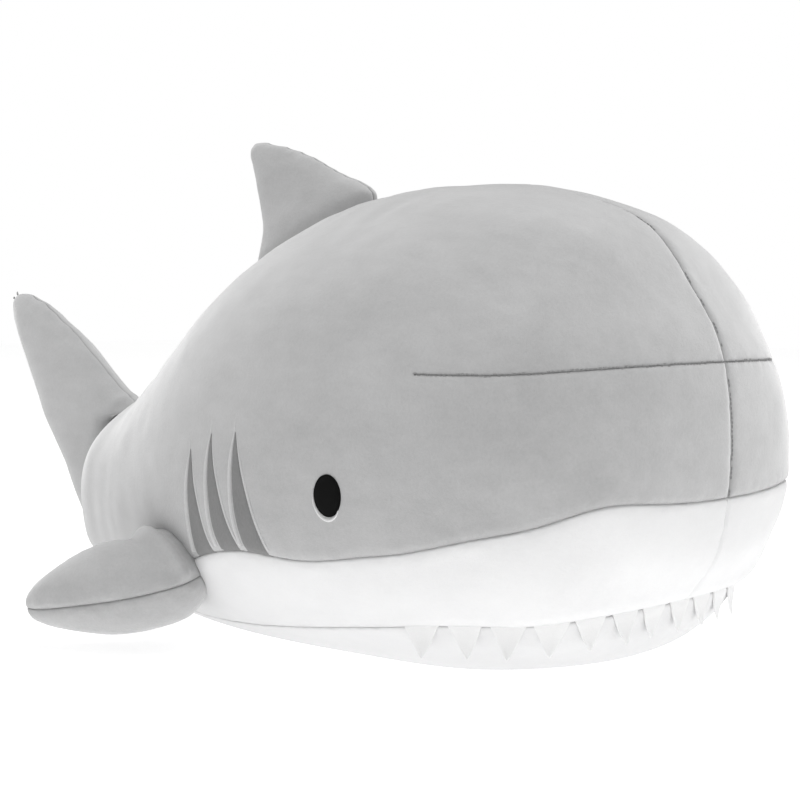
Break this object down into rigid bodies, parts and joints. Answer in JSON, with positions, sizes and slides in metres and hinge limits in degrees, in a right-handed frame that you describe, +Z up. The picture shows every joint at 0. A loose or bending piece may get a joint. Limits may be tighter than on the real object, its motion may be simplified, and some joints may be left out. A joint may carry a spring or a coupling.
{
  "type": "plush shark",
  "caption": "Stuffed plush shark that rests on its flat belly: grey back, white lip and belly, felt teeth, embroidered eyes, gill inserts and soft sprung fins.",
  "frame": {"origin": "centre of the toy's footprint on the floor", "axes": "+Z up, nose towards -Y, tail towards +Y, right side on -X"},
  "size_m": [0.3518, 0.6, 0.3061],
  "materials": {
    "grey_plush": "short-pile plush",
    "white_plush": "short-pile plush",
    "felt": "stiff felt",
    "gill_fabric": "smooth brushed knit",
    "eye_fabric": "fill embroidery",
    "eye_thread": "satin-stitched thread",
    "eye_shine": "satin-stitched thread",
    "stuffing": "loose polyester fibre"
  },
  "bodies": {
    "body": {"back_panel_right": "grey_plush", "back_panel_left": "grey_plush", "lip_panel_right": "white_plush", "lip_panel_left": "white_plush", "belly_panel": "white_plush", "body_stuffing": "stuffing", "gill_insert_right_1": "gill_fabric", "gill_insert_right_2": "gill_fabric", "gill_insert_right_3": "gill_fabric", "gill_insert_left_1": "gill_fabric", "gill_insert_left_2": "gill_fabric", "gill_insert_left_3": "gill_fabric", "eye_patch_right": "eye_fabric", "eye_patch_left": "eye_fabric", "eye_shine_right": "eye_shine", "eye_shine_left": "eye_shine", "eye_border_right": "eye_thread", "eye_border_left": "eye_thread", "felt_tooth_01": "felt", "felt_tooth_02": "felt", "felt_tooth_03": "felt", "felt_tooth_04": "felt", "felt_tooth_05": "felt", "felt_tooth_06": "felt", "felt_tooth_07": "felt", "felt_tooth_08": "felt", "felt_tooth_09": "felt", "felt_tooth_10": "felt", "felt_tooth_11": "felt", "felt_tooth_12": "felt", "felt_tooth_13": "felt", "felt_tooth_14": "felt", "felt_tooth_15": "felt"},
    "dorsal_fin": {"dorsal_fin_panel_right": "grey_plush", "dorsal_fin_panel_left": "grey_plush", "dorsal_fin_stuffing": "stuffing"},
    "tail_fin": {"tail_fin_panel_right": "grey_plush", "tail_fin_panel_left": "grey_plush", "tail_fin_stuffing": "stuffing"},
    "pectoral_fin_right": {"pectoral_fin_right_upper_panel": "grey_plush", "pectoral_fin_right_lower_panel": "grey_plush", "pectoral_fin_right_stuffing": "stuffing"},
    "pectoral_fin_left": {"pectoral_fin_left_upper_panel": "grey_plush", "pectoral_fin_left_lower_panel": "grey_plush", "pectoral_fin_left_stuffing": "stuffing"}
  },
  "joints": [
    {"name": "dorsal_fin_tilt", "type": "hinge", "parent": "body", "child": "dorsal_fin", "pos_m": [0, -0.00652, 0.24037], "axis": [0, 0.8765, -0.4814], "range_deg": [-20, 20], "stiffness_Nm_per_rad": 0.4},
    {"name": "tail_fin_swing", "type": "hinge", "parent": "body", "child": "tail_fin", "pos_m": [0, 0.193, 0.095], "axis": [0, 0, 1], "range_deg": [-25, 25], "stiffness_Nm_per_rad": 0.6},
    {"name": "pectoral_fin_right_flap", "type": "hinge", "parent": "body", "child": "pectoral_fin_right", "pos_m": [-0.12432, 0.00436, 0.042], "axis": [0.3561, 0.9344, 0], "range_deg": [-15, 30], "stiffness_Nm_per_rad": 1.2},
    {"name": "pectoral_fin_left_flap", "type": "hinge", "parent": "body", "child": "pectoral_fin_left", "pos_m": [0.12432, 0.00436, 0.042], "axis": [0.3561, -0.9344, 0], "range_deg": [-15, 30], "stiffness_Nm_per_rad": 1.2}
  ]
}
